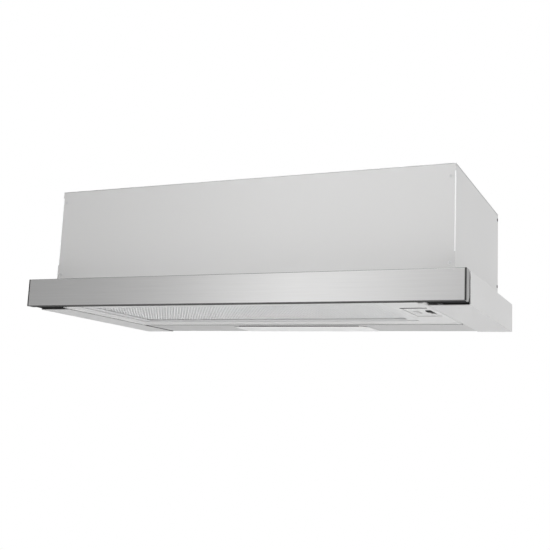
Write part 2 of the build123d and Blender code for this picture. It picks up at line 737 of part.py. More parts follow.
def lamp_bulbs():
    """Two tubular lamps with their screw caps in the sockets."""
    base_end = LAMP_BOX_HALF - 8
    with BuildPart() as bulbs:
        rod_x((LAMP_BOX_HALF - 30, base_end), at(LAMP_D), LAMP_Z, 6.2)
        with BuildSketch(Plane.XZ.offset(-at(LAMP_D))):
            with BuildLine():
                Polyline((28, LAMP_Z), (28, LAMP_Z + 4), (32, LAMP_Z + 7.5), (76, LAMP_Z + 7.5))
                Line((76, LAMP_Z + 7.5), (LAMP_BOX_HALF - 30, LAMP_Z + 6.2))
                Polyline((LAMP_BOX_HALF - 30, LAMP_Z + 6.2), (LAMP_BOX_HALF - 30, LAMP_Z), (28, LAMP_Z))
            make_face()
        revolve(axis=Axis((0, at(LAMP_D), LAMP_Z), (1, 0, 0)))
        mirror(about=Plane.YZ)
    write(bulbs, "lamp_bulbs")


# Blower --------------------------------------------------------------------------
def arc_points(centre, radius, start, end):
    """Start, middle and end of an arc, angles in degrees from +Y towards +Z."""
    angles = (start, (start + end) / 2, end)
    return [
        (centre[0] + radius * cos(radians(a)), centre[1] + radius * sin(radians(a))) for a in angles
    ]


def volute(inset, mouth_top):
    """Volute outline in the sketch's Y and Z: four arcs from a design square, and the mouth.

    The outline is moved inwards by inset. The arcs run from the back, below the shaft, up
    the front and over the top to the tongue.
    """
    half = SQUARE / 2
    corners = ((half, half), (half, -half), (-half, -half), (-half, half))
    radii = [VOLUTE_R - SQUARE * quarter - inset for quarter in range(4)]
    centres = [(SHAFT_Y + y, SHAFT_Z + z) for y, z in corners]
    back = centres[0][0] + radii[0]
    tongue = SHAFT_Y + TONGUE_Y + inset
    last = degrees(acos((tongue - centres[3][0]) / radii[3]))
    sweeps = ((0, -90), (-90, -180), (180, 90), (90, last))
    arcs = [arc_points(c, r, *s) for c, r, s in zip(centres, radii, sweeps)]
    Line((back, mouth_top), arcs[0][0])
    for arc in arcs:
        ThreePointArc(*arc)
    Polyline(arcs[3][2], (tongue, mouth_top), (back, mouth_top))


def scroll_half(side):
    """Half of the blower casing: side wall with its bell inlet, and the volute wall."""
    with BuildPart() as scroll:
        with BuildSketch(Plane.YZ):
            with BuildLine():
                volute(0, MOUTH_Z)
            make_face()
        extrude(amount=VOLUTE_HALF)
        with BuildSketch(Plane.YZ):
            with BuildLine():
                volute(VOLUTE_WALL, MOUTH_Z + 1)
            make_face()
        extrude(amount=VOLUTE_HALF - VOLUTE_WALL, mode=Mode.SUBTRACT)
        rod_x((VOLUTE_HALF - 4, VOLUTE_HALF), SHAFT_Y, SHAFT_Z, INLET_R + VOLUTE_WALL)
        rod_x((VOLUTE_HALF - 5, VOLUTE_HALF + 1), SHAFT_Y, SHAFT_Z, INLET_R, Mode.SUBTRACT)
        if side == "left":
            mirror(about=Plane.YZ, mode=Mode.REPLACE)
    write(scroll, f"scroll_{side}_half")


def impeller():
    """Double-inlet wheel: a hub disc, forward-curved blades and a ring at each end."""
    ring = 2.0
    inner = IMPELLER_R - 8
    blade = 1.2
    middle = (IMPELLER_R + inner) / 2
    with BuildPart() as wheel:
        with BuildSketch(Plane.YZ.offset(-IMPELLER_HALF)):
            with Locations((SHAFT_Y, SHAFT_Z)):
                with PolarLocations(middle, BLADES):
                    Rectangle(IMPELLER_R - inner, blade, rotation=32)
        extrude(amount=2 * IMPELLER_HALF)
        for x in (-IMPELLER_HALF, IMPELLER_HALF - ring, -ring / 2):
            rod_x((x, x + ring), SHAFT_Y, SHAFT_Z, IMPELLER_R)
        for x in (-IMPELLER_HALF, IMPELLER_HALF - ring):
            rod_x((x, x + ring), SHAFT_Y, SHAFT_Z, inner + 1, Mode.SUBTRACT)
        rod_x((-14, 14), SHAFT_Y, SHAFT_Z, 10)
        rod_x((-20, 20), SHAFT_Y, SHAFT_Z, SHAFT_R, Mode.SUBTRACT)
    write(wheel, "impeller")


def motor_shaft():
    """Steel shaft from the wheel's hub through both motor bearings."""
    with BuildPart() as shaft:
        rod_x((-14, MOTOR_X[1] + 4), SHAFT_Y, SHAFT_Z, SHAFT_R)
        chamfer(shaft.edges().filter_by(GeomType.CIRCLE), 0.5)
    write(shaft, "motor_shaft")


ROTOR_R = 20.0
ROTOR_X = (91.0, 121.0)
BEARING_R = 7.0
BEARING_LENGTH = 8.0


def motor_rotor():
    """Laminated rotor pressed on the shaft."""
    with BuildPart() as rotor:
        rod_x(ROTOR_X, SHAFT_Y, SHAFT_Z, ROTOR_R)
        rod_x(ROTOR_X, SHAFT_Y, SHAFT_Z, SHAFT_R, Mode.SUBTRACT)
        chamfer(rotor.edges().filter_by(GeomType.CIRCLE).sort_by(SortBy.RADIUS)[-2:], 0.8)
    write(rotor, "motor_rotor")


def motor_stator():
    """Laminated stator ring with slots towards the rotor."""
    with BuildPart() as stator:
        rod_x((92, 120), SHAFT_Y, SHAFT_Z, MOTOR_R - 1.5)
        rod_x((92, 120), SHAFT_Y, SHAFT_Z, ROTOR_R + 0.5, Mode.SUBTRACT)
        with BuildSketch(Plane.YZ.offset(92)):
            with Locations((SHAFT_Y, SHAFT_Z)):
                with PolarLocations(26, 12):
                    Rectangle(8, 4)
        extrude(amount=28, mode=Mode.SUBTRACT)
    write(stator, "motor_stator")


def motor_windings():
    """Copper end turns on both faces of the stator."""
    with BuildPart() as coils:
        for x in ((84.5, 92), (120, 127.5)):
            rod_x(x, SHAFT_Y, SHAFT_Z, 35)
            rod_x(x, SHAFT_Y, SHAFT_Z, 23, Mode.SUBTRACT)
        outer = coils.edges().filter_by(GeomType.CIRCLE).sort_by(SortBy.RADIUS)[-4:]
        fillet(outer, 2)
    write(coils, "motor_windings")


def motor_cup(name, ends, wall_at_low):
    """Drawn-steel half of the motor's casing, with a seat for its bearing."""
    wall = 1.5
    middle = (MOTOR_X[0] + MOTOR_X[1]) / 2
    seat = (ends[0], ends[0] + BEARING_LENGTH - 2) if wall_at_low else (ends[1] - BEARING_LENGTH + 2, ends[1])
    hollow = (ends[0] + wall, middle) if wall_at_low else (middle, ends[1] - wall)
    with BuildPart() as cup:
        rod_x(ends, SHAFT_Y, SHAFT_Z, MOTOR_R)
        rod_x(hollow, SHAFT_Y, SHAFT_Z, MOTOR_R - wall, Mode.SUBTRACT)
        rod_x(seat, SHAFT_Y, SHAFT_Z, BEARING_R + wall)
        rod_x((ends[0] - 1, ends[1] + 1), SHAFT_Y, SHAFT_Z, BEARING_R, Mode.SUBTRACT)
        with BuildSketch(Plane.YZ.offset(ends[0] - 1)):
            with Locations((SHAFT_Y, SHAFT_Z)):
                with PolarLocations(17, 8):
                    SlotOverall(10, 4)
        extrude(amount=ends[1] - ends[0] + 2, mode=Mode.SUBTRACT)
    write(cup, name)


def motor_bearings():
    """Sintered bushes in the two bearing seats."""
    with BuildPart() as bushes:
        for x in ((MOTOR_X[0], MOTOR_X[0] + 6), (MOTOR_X[1] - 6, MOTOR_X[1])):
            rod_x(x, SHAFT_Y, SHAFT_Z, BEARING_R)
            rod_x(x, SHAFT_Y, SHAFT_Z, SHAFT_R + FIT, Mode.SUBTRACT)
    write(bushes, "motor_bearings")


def motor_bracket():
    """Spider that hangs the motor off the scroll, clear of the inlet."""
    plate = 2.0
    legs = (0, -100, -200)
    with BuildPart() as bracket:
        with BuildSketch(Plane.YZ.offset(MOTOR_X[0] - plate)):
            with Locations((SHAFT_Y, SHAFT_Z)):
                Circle(30)
                Circle(14, mode=Mode.SUBTRACT)
                with PolarLocations(36, 3, start_angle=0, angular_range=-300, endpoint=False):
                    Rectangle(26, 10)
        extrude(amount=plate)
        for angle in legs:
            outwards = (0, cos(radians(angle)), sin(radians(angle)))
            foot = Plane(origin=(VOLUTE_HALF, SHAFT_Y, SHAFT_Z), x_dir=outwards, z_dir=(1, 0, 0))
            with BuildSketch(foot):
                with Locations((47.5, 0)):
                    Rectangle(3, 10)
            extrude(amount=MOTOR_X[0] - VOLUTE_HALF)
    write(bracket, "motor_bracket")


def outlet_adaptor():
    """Moulded transition from the scroll's mouth to the round outlet."""
    mouth_y = SHAFT_Y + TONGUE_Y, SHAFT_Y + SQUARE / 2 + VOLUTE_R
    length = mouth_y[1] - mouth_y[0]
    roof = BODY_TOP - SHEET
    outer_r = OUTLET_R - 0.5
    with BuildPart() as adaptor:
        with BuildSketch(Plane.XY.offset(MOUTH_Z)):
            with Locations((0, OUTLET_Y)):
                RectangleRounded(2 * VOLUTE_HALF, length, 4)
        with BuildSketch(Plane.XY.offset(roof)):
            with Locations((0, OUTLET_Y)):
                Circle(outer_r)
        loft()
        with BuildSketch(Plane.XY.offset(MOUTH_Z)):
            with Locations((0, OUTLET_Y)):
                RectangleRounded(2 * (VOLUTE_HALF - VOLUTE_WALL), length - 2 * VOLUTE_WALL, 3)
        with BuildSketch(Plane.XY.offset(roof)):
            with Locations((0, OUTLET_Y)):
                Circle(outer_r - VOLUTE_WALL)
        loft(mode=Mode.SUBTRACT)
    write(adaptor, "outlet_adaptor")


# Outlet and dampers --------------------------------------------------------------
FLAP_SHEET = 1.0
FLAP_LOW = 173.0
KNUCKLE_R = 3.0
FLAP_KNUCKLES = {"front": ((-50, -30), (6, 26)), "rear": ((-26, -6), (30, 50))}


def outlet_collar():
    """Spigot for the duct, with its screw flange and the ledge that stops the flaps."""
    inner = OUTLET_R - OUTLET_WALL
    with BuildPart() as collar:
        with Locations((0, OUTLET_Y, BODY_TOP)):
            Cylinder(COLLAR_SCREW_R + 5, 2, align=(Align.CENTER, Align.CENTER, Align.MIN))
            Cylinder(OUTLET_R, OUTLET_TOP - BODY_TOP, align=(Align.CENTER, Align.CENTER, Align.MIN))
            Cylinder(inner, 100, mode=Mode.SUBTRACT)
        with BuildSketch(Plane.XY.offset(FLAP_LOW - 1.5)):
            with Locations((0, OUTLET_Y)):
                Circle(inner)
                Circle(inner - 2.5, mode=Mode.SUBTRACT)
        extrude(amount=1.2)
        with BuildSketch(Plane.XY.offset(BODY_TOP)):
            with Locations((0, OUTLET_Y)):
                with PolarLocations(COLLAR_SCREW_R, 4, start_angle=45):
                    Circle(SCREW_HOLE_R)
        extrude(amount=2, mode=Mode.SUBTRACT)
        rod_x((-OUTLET_R - 1, OUTLET_R + 1), OUTLET_Y, FLAP_AXIS_Z, 1.5, Mode.SUBTRACT)
    write(collar, "outlet_collar")


def damper_spindle():
    """Steel spindle across the outlet that both flaps hang on."""
    with BuildPart() as spindle:
        rod_x((-OUTLET_R, OUTLET_R), OUTLET_Y, FLAP_AXIS_Z, 1.5)
    write(spindle, "damper_spindle")


def damper_flap(name):
    """Half-round flap with two knuckles, cut out where the other flap's knuckles are."""
    other = "rear" if name == "front" else "front"
    facing = -1 if name == "front" else 1
    with BuildPart() as flap:
        with BuildSketch(Plane.XY.offset(FLAP_LOW)):
            with Locations((0, OUTLET_Y)):
                Circle(FLAP_R)
            with Locations((0, OUTLET_Y - facing * (FLAP_R - 0.6))):
                Rectangle(2 * FLAP_R, 2 * FLAP_R, mode=Mode.SUBTRACT)
        extrude(amount=FLAP_SHEET)
        rod_x((-OUTLET_R, OUTLET_R), OUTLET_Y, FLAP_AXIS_Z, 1.5 + 8 * FIT, Mode.SUBTRACT)
        for span in FLAP_KNUCKLES[other]:
            slab(
                (span[0] - 0.6, span[1] + 0.6),
                (OUTLET_Y - KNUCKLE_R - 0.6, OUTLET_Y + KNUCKLE_R + 0.6),
                (FLAP_LOW - 3, FLAP_LOW + 3),
                Mode.SUBTRACT,
            )
        for span in FLAP_KNUCKLES[name]:
            rod_x(span, OUTLET_Y, FLAP_AXIS_Z, KNUCKLE_R)
            rod_x(span, OUTLET_Y, FLAP_AXIS_Z, 1.5 + FIT, Mode.SUBTRACT)
        for rib in (-42, 0, 42):
            reach = (OUTLET_Y + facing * 8, OUTLET_Y + facing * 34)
            slab((rib - 0.8, rib + 0.8), sorted(reach), (FLAP_LOW + FLAP_SHEET, FLAP_LOW + 3))
    write(flap, f"damper_flap_{name}")


# Electrical parts ----------------------------------------------------------------
BOX_X = (-165.0, -95.0)
BOX_D = (262.0, 299.0)
BOX_Z = (70.0, 120.0)


def capacitor():
    """Motor capacitor on the deck with its terminals."""
    with BuildPart() as can:
        rod_x((-180, -122), at(250), 54, 14)
        chamfer(can.edges().filter_by(GeomType.CIRCLE), 1)
        slab((-166, -136), (at(243), at(257)), (BASE_HEIGHT, 44))
        for y in (245, 253):
            slab((-186, -180), (at(y), at(y + 2)), (53, 59))
    write(can, "capacitor")


def terminal_box():
    """Open box on the back panel that takes the supply cable."""
    wall = 1.5
    with BuildPart() as box:
        slab(BOX_X, (at(BOX_D[0]), at(BOX_D[1])), BOX_Z)
        slab(
            (BOX_X[0] + wall, BOX_X[1] - wall),
            (at(BOX_D[0] - 1), at(BOX_D[1] - wall)),
            (BOX_Z[0] + wall, BOX_Z[1] - wall),
            Mode.SUBTRACT,
        )
        with Locations((GLAND_X, at(GLAND_D + 10), BOX_Z[1])):
            Cylinder(5, 6, mode=Mode.SUBTRACT)
    write(box, "terminal_box")


def terminal_box_cover():
    """Lid of the terminal box."""
    with BuildPart() as lid:
        slab((BOX_X[0] - 1, BOX_X[1] + 1), (at(BOX_D[0] - 2), at(BOX_D[0])), (BOX_Z[0] - 1, BOX_Z[1] + 1))
        edges = lid.edges().filter_by(Axis.Y)
        fillet(edges, 3)
    write(lid, "terminal_box_cover")


def cable_gland():
    """Hexagonal gland in the roof with the bore that grips the supply cable."""
    with BuildPart() as gland:
        with BuildSketch(Plane.XY.offset(BODY_TOP)):
            with Locations((GLAND_X, at(GLAND_D))):
                RegularPolygon(12, 6)
        extrude(amount=6)
        with Locations((GLAND_X, at(GLAND_D), BODY_TOP - SHEET)):
            Cylinder(GLAND_R, SHEET, align=(Align.CENTER, Align.CENTER, Align.MIN))
        with BuildSketch(Plane.XY.offset(BODY_TOP - SHEET - 6)):
            with Locations((GLAND_X, at(GLAND_D))):
                RegularPolygon(11, 6)
        extrude(amount=6)
        with Locations((GLAND_X, at(GLAND_D), BODY_TOP + 6)):
            Cylinder(9, 8, align=(Align.CENTER, Align.CENTER, Align.MIN))
        fillet(gland.faces().sort_by(Axis.Z)[-1].edges(), 2)
        with Locations((GLAND_X, at(GLAND_D), BODY_TOP)):
            Cylinder(4.5, 60, mode=Mode.SUBTRACT)
    write(gland, "cable_gland")


# Fasteners -----------------------------------------------------------------------
HEAD_R = 3.6
HEAD_H = 1.6
SCREW_LENGTH = 6.0


def screw():
    """Pan-head screw in the part being built, its head up on the current location."""
    Cylinder(HEAD_R, HEAD_H, align=(Align.CENTER, Align.CENTER, Align.MIN))
    Cylinder(SCREW_R, SCREW_LENGTH, align=(Align.CENTER, Align.CENTER, Align.MAX))


def housing_screws():
    """Screws of the front panel, of the housing's feet and of the outlet collar."""
    collar_top = BODY_TOP + 2
    with BuildPart() as screws:
        for x in (-BODY_HALF + FLANGE / 2, BODY_HALF - FLANGE / 2):
            for depth in BASE_SCREW_D:
                with Locations((x, at(depth), BASE_HEIGHT + SHEET)):
                    screw()
        with Locations((0, OUTLET_Y, collar_top)):
            with PolarLocations(COLLAR_SCREW_R, 4, start_angle=45):
                screw()
    write(screws, "housing_screws")


def side_rivets():
    """Low rivets that join the front panel to the flanges of the sides."""
    with BuildPart() as rivets:
        for x in (-BODY_HALF + FLANGE / 2, BODY_HALF - FLANGE / 2):
            for z in SIDE_SCREW_Z:
                rod_y(x, (at(BODY_FRONT), at(BODY_FRONT + 2 * SHEET)), z, SCREW_R)
                rod_y(x, (at(BODY_FRONT + 2 * SHEET), at(BODY_FRONT + 2 * SHEET + 1.2)), z, HEAD_R)
    write(rivets, "side_rivets")


PARTS = (
    housing_front_panel,
    housing_back_panel,
    housing_top_panel,
    inlet_deck,
    base_rear_panel,
    base_seals,
    cheek_end_caps,
    rail_outer_members,
    rail_inner_members,
    fascia_panel,
    fascia_trims,
    fascia_carrier,
    drawer_frame,
    drawer_top_cover,
    filter_frame,
    filter_mesh,
    filter_pivot_pins,
    filter_spring_clips,
    control_plate,
    switch_module,
    microswitch_body,
    microswitch_plunger,
    lamp_housing,
    lamp_lens,
    lamp_holders,
    lamp_bulbs,
    impeller,
    motor_shaft,
    motor_rotor,
    motor_stator,
    motor_windings,
    motor_bearings,
    motor_bracket,
    outlet_adaptor,
    outlet_collar,
    damper_spindle,
    capacitor,
    terminal_box,
    terminal_box_cover,
    cable_gland,
    housing_screws,
    side_rivets,
)

for make in PARTS:
    make()

for hand in ("left", "right"):
    housing_side(hand)
    base_cheek(hand)
    rail_middle(hand)
    fascia_end(hand)
    drawer_side(hand)
    scroll_half(hand)

slider_knob("fan_slider", FAN_SLOT_X, FAN_SLOT_D)
slider_knob("light_slider", LIGHT_SLOT_X, LIGHT_SLOT_D)
motor_cup("motor_cup_front", (MOTOR_X[0], (MOTOR_X[0] + MOTOR_X[1]) / 2), True)
motor_cup("motor_cup_rear", ((MOTOR_X[0] + MOTOR_X[1]) / 2, MOTOR_X[1]), False)
damper_flap("front")
damper_flap("rear")
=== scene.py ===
import json
import math
import random

import bmesh
import bpy
from mathutils import Matrix, Vector, noise


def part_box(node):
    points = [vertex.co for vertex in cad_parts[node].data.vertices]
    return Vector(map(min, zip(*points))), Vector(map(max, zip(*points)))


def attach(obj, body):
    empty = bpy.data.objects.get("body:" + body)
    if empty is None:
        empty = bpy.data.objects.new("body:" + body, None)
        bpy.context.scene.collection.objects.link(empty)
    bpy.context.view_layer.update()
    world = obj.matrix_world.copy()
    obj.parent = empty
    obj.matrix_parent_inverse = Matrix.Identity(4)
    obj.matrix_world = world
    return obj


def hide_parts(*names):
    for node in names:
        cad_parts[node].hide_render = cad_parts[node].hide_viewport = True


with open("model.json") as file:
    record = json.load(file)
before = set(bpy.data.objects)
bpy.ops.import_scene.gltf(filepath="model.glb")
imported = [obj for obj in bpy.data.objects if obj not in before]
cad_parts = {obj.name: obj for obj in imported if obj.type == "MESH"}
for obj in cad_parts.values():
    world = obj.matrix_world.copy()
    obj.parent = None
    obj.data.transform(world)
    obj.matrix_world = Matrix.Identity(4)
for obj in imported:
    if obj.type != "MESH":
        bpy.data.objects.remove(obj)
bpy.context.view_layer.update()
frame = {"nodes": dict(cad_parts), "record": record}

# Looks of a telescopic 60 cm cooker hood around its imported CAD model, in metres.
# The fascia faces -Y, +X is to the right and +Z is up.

MM = 0.001
body_of_node = {
    node: body
    for body, nodes in frame["record"]["behaviour"]["bodies"].items()
    for node in nodes
}
slot_of_node = {row["node"]: row["material_slot"] for row in frame["record"]["subparts"]}


# Node materials --------------------------------------------------------------------
class Finish:
    """A node material being built. Textures are placed in the row frame, in metres."""

    def __init__(self, name):
        self.material = bpy.data.materials.new(name)
        self.material.use_nodes = True
        self.nodes = self.material.node_tree.nodes
        self.links = self.material.node_tree.links
        self.shader = self.nodes["Principled BSDF"]
        self.place = self.nodes.new("ShaderNodeTexCoord").outputs["Object"]
        self.normal = None

    def set(self, **values):
        """Values that are the same all over the surface, on the shader's own sockets."""
        for name, value in values.items():
            self.shader.inputs[name.replace("_", " ")].default_value = value

    def link(self, source, name):
        self.links.new(source, self.shader.inputs[name])

    def stretched(self, scale):
        """The surface's place, scaled along each axis."""
        mapping = self.nodes.new("ShaderNodeMapping")
        mapping.inputs["Scale"].default_value = scale
        self.links.new(self.place, mapping.inputs["Vector"])
        return mapping.outputs["Vector"]

    def noise(self, scale, detail=3.0, roughness=0.55, stretch=(1, 1, 1)):
        texture = self.nodes.new("ShaderNodeTexNoise")
        texture.inputs["Scale"].default_value = scale
        texture.inputs["Detail"].default_value = detail
        texture.inputs["Roughness"].default_value = roughness
        self.links.new(self.stretched(stretch), texture.inputs["Vector"])
        return texture.outputs["Fac"]

    def cells(self, scale, output="Distance"):
        texture = self.nodes.new("ShaderNodeTexVoronoi")
        texture.inputs["Scale"].default_value = scale
        self.links.new(self.place, texture.inputs["Vector"])
        return texture.outputs[output]

    def waves(self, scale, axis, distortion=0.0, profile="SIN"):
        texture = self.nodes.new("ShaderNodeTexWave")
        texture.bands_direction = axis
        texture.wave_profile = profile
        texture.inputs["Scale"].default_value = scale
        texture.inputs["Distortion"].default_value = distortion
        self.links.new(self.place, texture.inputs["Vector"])
        return texture.outputs["Fac"]

    def range(self, value, low, high, start=0.0, end=1.0):
        """A value from start to end, spread between low and high."""
        node = self.nodes.new("ShaderNodeMapRange")
        node.inputs["From Min"].default_value = start
        node.inputs["From Max"].default_value = end
        node.inputs["To Min"].default_value = low
        node.inputs["To Max"].default_value = high
        self.links.new(value, node.inputs["Value"])
        return node.outputs["Result"]

    def math(self, operation, first, second):
        node = self.nodes.new("ShaderNodeMath")
        node.operation = operation
        for socket, value in zip(node.inputs, (first, second)):
            if isinstance(value, (int, float)):
                socket.default_value = value
            else:
                self.links.new(value, socket)
        return node.outputs["Value"]

    def tones(self, value, dark, light):
        """A colour between two, by a value from 0 to 1."""
        ramp = self.nodes.new("ShaderNodeValToRGB")
        ramp.color_ramp.elements[0].color = (*dark, 1)
        ramp.color_ramp.elements[1].color = (*light, 1)
        self.links.new(value, ramp.inputs["Fac"])
        return ramp.outputs["Color"]

    def edge_wear(self, colour, worn, strength, width):
        """Brightens a thin line along sharp edges, where the finish is rubbed.

        The line is where the rounded normal leaves the flat one.
        """
        bevel = self.nodes.new("ShaderNodeBevel")
        bevel.samples = 4
        bevel.inputs["Radius"].default_value = width
        geometry = self.nodes.new("ShaderNodeNewGeometry")
        dot = self.nodes.new("ShaderNodeVectorMath")
        dot.operation = "DOT_PRODUCT"
        self.links.new(bevel.outputs["Normal"], dot.inputs[0])
        self.links.new(geometry.outputs["Normal"], dot.inputs[1])
        edge = self.range(dot.outputs["Value"], strength, 0.0, start=0.9, end=0.995)
        mix = self.nodes.new("ShaderNodeMix")
        mix.data_type = "RGBA"
        self.links.new(edge, mix.inputs["Factor"])
        self.links.new(colour, mix.inputs["A"])
        mix.inputs["B"].default_value = (*worn, 1)
        return mix.outputs["Result"]

    def bump(self, height, distance, strength=1.0):
        """Adds a height map, its relief given in metres."""
        node = self.nodes.new("ShaderNodeBump")
        node.inputs["Strength"].default_value = strength
        node.inputs["Distance"].default_value = distance
        self.links.new(height, node.inputs["Height"])
        if self.normal:
            self.links.new(self.normal, node.inputs["Normal"])
        self.normal = node.outputs["Normal"]
        self.link(self.normal, "Normal")


def grey(level, warmth=0.0):
    """A grey, warmer or cooler by the given share."""
    return (level * (1 + warmth), level, level * (1 - warmth))


def stainless(name, dark, light):
    """Stainless sheet brushed along X, with faint handling marks."""
    finish = Finish(name)
    finish.set(Metallic=1.0)
    short_brushing = (14, 1500, 1500)
    long_brushing = (3, 420, 420)
    grain = finish.noise(1.0, 4.0, 0.7, stretch=short_brushing)
    long_lines = finish.noise(1.0, 2.0, 0.5, stretch=long_brushing)
    smudge = finish.noise(9.0, 3.0, 0.5)
    fine = finish.math("MULTIPLY", grain, 0.75)
    streaks = finish.math("ADD", fine, finish.math("MULTIPLY", long_lines, 0.25))
    finish.link(finish.tones(streaks, grey(dark, 0.004), grey(light, 0.002)), "Base Color")
    rough = finish.math("ADD", finish.range(grain, 0.28, 0.42), finish.range(smudge, -0.03, 0.04))
    finish.link(rough, "Roughness")
    finish.bump(grain, 0.012 * MM)
    finish.bump(long_lines, 0.006 * MM)
    return finish.material


def painted_steel(name, dark, light):
    """Satin silver coating: fine orange peel, metallic flake and slight edge wear."""
    finish = Finish(name)
    finish.set(Metallic=0.25, Coat_Weight=0.12, Coat_Roughness=0.32)
    cloud = finish.noise(6.0, 3.0, 0.5)
    flake = finish.cells(5200.0, output="Color")
    peel = finish.noise(620.0, 2.0, 0.5)
    fine = finish.noise(2600.0, 2.0, 0.5)
    speck = finish.range(flake, -0.03, 0.03)
    tone = finish.math("ADD", finish.range(cloud, 0.4, 0.6), speck)
    base = finish.tones(tone, dark, light)
    finish.link(finish.edge_wear(base, grey(0.72), 0.5, 0.35 * MM), "Base Color")
    finish.link(finish.range(cloud, 0.4, 0.48, start=0.3, end=0.7), "Roughness")
    finish.bump(peel, 0.012 * MM)
    finish.bump(fine, 0.003 * MM)
    return finish.material


def galvanised_steel():
    """Zinc-coated sheet with its crystal spangle."""
    finish = Finish("galvanised_steel")
    finish.set(Metallic=0.85)
    spangle = finish.cells(115.0, output="Color")
    feather = finish.noise(900.0, 4.0, 0.65)
    cloud = finish.noise(14.0, 3.0, 0.5)
    level = finish.math("ADD", finish.range(spangle, 0.15, 0.75), finish.range(feather, -0.12, 0.12))
    finish.link(finish.tones(level, grey(0.43, -0.01), grey(0.66, -0.006)), "Base Color")
    rough = finish.math("ADD", finish.range(spangle, 0.34, 0.52), finish.range(cloud, -0.05, 0.05))
    finish.link(rough, "Roughness")
    finish.bump(spangle, 0.006 * MM)
    finish.bump(feather, 0.004 * MM)
    return finish.material


def moulded_plastic(name, dark, light, roughness, relief=0.012, sheen=0.5):
    """Injection-moulded plastic with a spark-eroded texture and faint flow marks."""
    finish = Finish(name)
    finish.set(Specular_IOR_Level=sheen)
    grain = finish.noise(2400.0, 3.0, 0.6)
    pits = finish.cells(1500.0)
    flow = finish.noise(11.0, 3.0, 0.5, stretch=(1, 2.5, 1))
    base = finish.tones(flow, dark, light)
    finish.link(finish.edge_wear(base, tuple(1.25 * c for c in light), 0.35, 0.3 * MM), "Base Color")
    finish.link(finish.range(grain, roughness - 0.06, roughness + 0.08), "Roughness")
    finish.bump(grain, relief * MM)
    finish.bump(pits, relief * 0.6 * MM)
    return finish.material


def aluminium():
    """Rolled aluminium section with drawn lines along X."""
    finish = Finish("aluminium")
    finish.set(Metallic=1.0)
    lines = finish.noise(1.0, 3.0, 0.6, stretch=(30, 1800, 1800))
    cloud = finish.noise(16.0, 2.0, 0.5)
    finish.link(finish.tones(lines, grey(0.70, -0.004), grey(0.86, -0.002)), "Base Color")
    rough = finish.math("ADD", finish.range(lines, 0.3, 0.42), finish.range(cloud, -0.04, 0.04))
    finish.link(rough, "Roughness")
    finish.bump(lines, 0.01 * MM)
    return finish.material


def aluminium_mesh(name, dark, light):
    """Slit and stretched aluminium foil: torn, rough strand edges."""
    finish = Finish(name)
    finish.set(Metallic=0.15)
    tear = finish.noise(1700.0, 3.0, 0.6)
    patch = finish.noise(45.0, 2.0, 0.5)
    finish.link(finish.tones(patch, grey(dark, -0.004), grey(light, -0.002)), "Base Color")
    finish.link(finish.range(tear, 0.26, 0.46), "Roughness")
    finish.bump(tear, 0.04 * MM)
    return finish.material


def lens():
    """Frosted polycarbonate with fine light-spreading ribs."""
    finish = Finish("lens")
    finish.set(Transmission_Weight=0.12, IOR=1.58, Coat_Weight=0.25, Coat_Roughness=0.15)
    frost = finish.noise(1400.0, 3.0, 0.6)
    ribs = finish.waves(160.0, "X")
    cloud = finish.noise(20.0, 2.0, 0.5)
    finish.link(finish.tones(cloud, grey(0.88, 0.004), grey(0.95, 0.002)), "Base Color")
    finish.link(finish.range(frost, 0.32, 0.5), "Roughness")
    finish.bump(ribs, 0.03 * MM)
    finish.bump(frost, 0.01 * MM)
    return finish.material


def lamp_glass():
    """Opal lamp glass with a faint powder coat inside."""
    finish = Finish("lamp_glass")
    finish.set(Transmission_Weight=0.15, Coat_Weight=0.6, Coat_Roughness=0.06)
    powder = finish.noise(900.0, 3.0, 0.6)
    cloud = finish.noise(60.0, 2.0, 0.5)
    finish.link(finish.tones(cloud, grey(0.78, 0.01), grey(0.88, 0.006)), "Base Color")
    finish.link(finish.range(powder, 0.25, 0.4), "Roughness")
    finish.bump(powder, 0.004 * MM)
    return finish.material


def white_ceramic():
    """Glazed ceramic with pin-holes."""
    finish = Finish("white_ceramic")
    finish.set(Coat_Weight=0.4, Coat_Roughness=0.12)
    cloud = finish.noise(70.0, 3.0, 0.5)
    pits = finish.cells(420.0)
    finish.link(finish.tones(cloud, grey(0.70, 0.03), grey(0.80, 0.02)), "Base Color")
    finish.link(finish.range(cloud, 0.3, 0.45), "Roughness")
    finish.bump(pits, 0.03 * MM)
    return finish.material


def copper():
    """Enamelled winding wire, laid round the motor's axis."""
    finish = Finish("copper")
    finish.set(Metallic=0.9, Coat_Weight=0.7, Coat_Roughness=0.2)
    texture = finish.nodes.new("ShaderNodeTexWave")
    texture.wave_type = "RINGS"
    texture.rings_direction = "X"
    texture.inputs["Scale"].default_value = 320.0
    texture.inputs["Distortion"].default_value = 1.5
    centre = finish.nodes.new("ShaderNodeMapping")
    shaft_low, shaft_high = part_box("motor_shaft")
    centre.inputs["Location"].default_value = -(shaft_low + shaft_high) / 2
    finish.links.new(finish.place, centre.inputs["Vector"])
    finish.links.new(centre.outputs["Vector"], texture.inputs["Vector"])
    strands = texture.outputs["Fac"]
    finish.link(finish.tones(strands, (0.30, 0.09, 0.035), (0.62, 0.23, 0.09)), "Base Color")
    finish.link(finish.range(strands, 0.3, 0.45), "Roughness")
    finish.bump(strands, 0.12 * MM)
    return finish.material


def iron_core():
    """Stack of punched electrical steel, its laminations across X."""
    finish = Finish("iron_core")
    finish.set(Metallic=0.8)
    sheets = finish.waves(310.0, "X", 0.4, "SAW")
    rust = finish.noise(130.0, 4.0, 0.6)
    finish.link(finish.tones(rust, (0.16, 0.15, 0.15), (0.30, 0.29, 0.29)), "Base Color")
    finish.link(finish.range(rust, 0.45, 0.65), "Roughness")
    finish.bump(sheets, 0.08 * MM)
    return finish.material


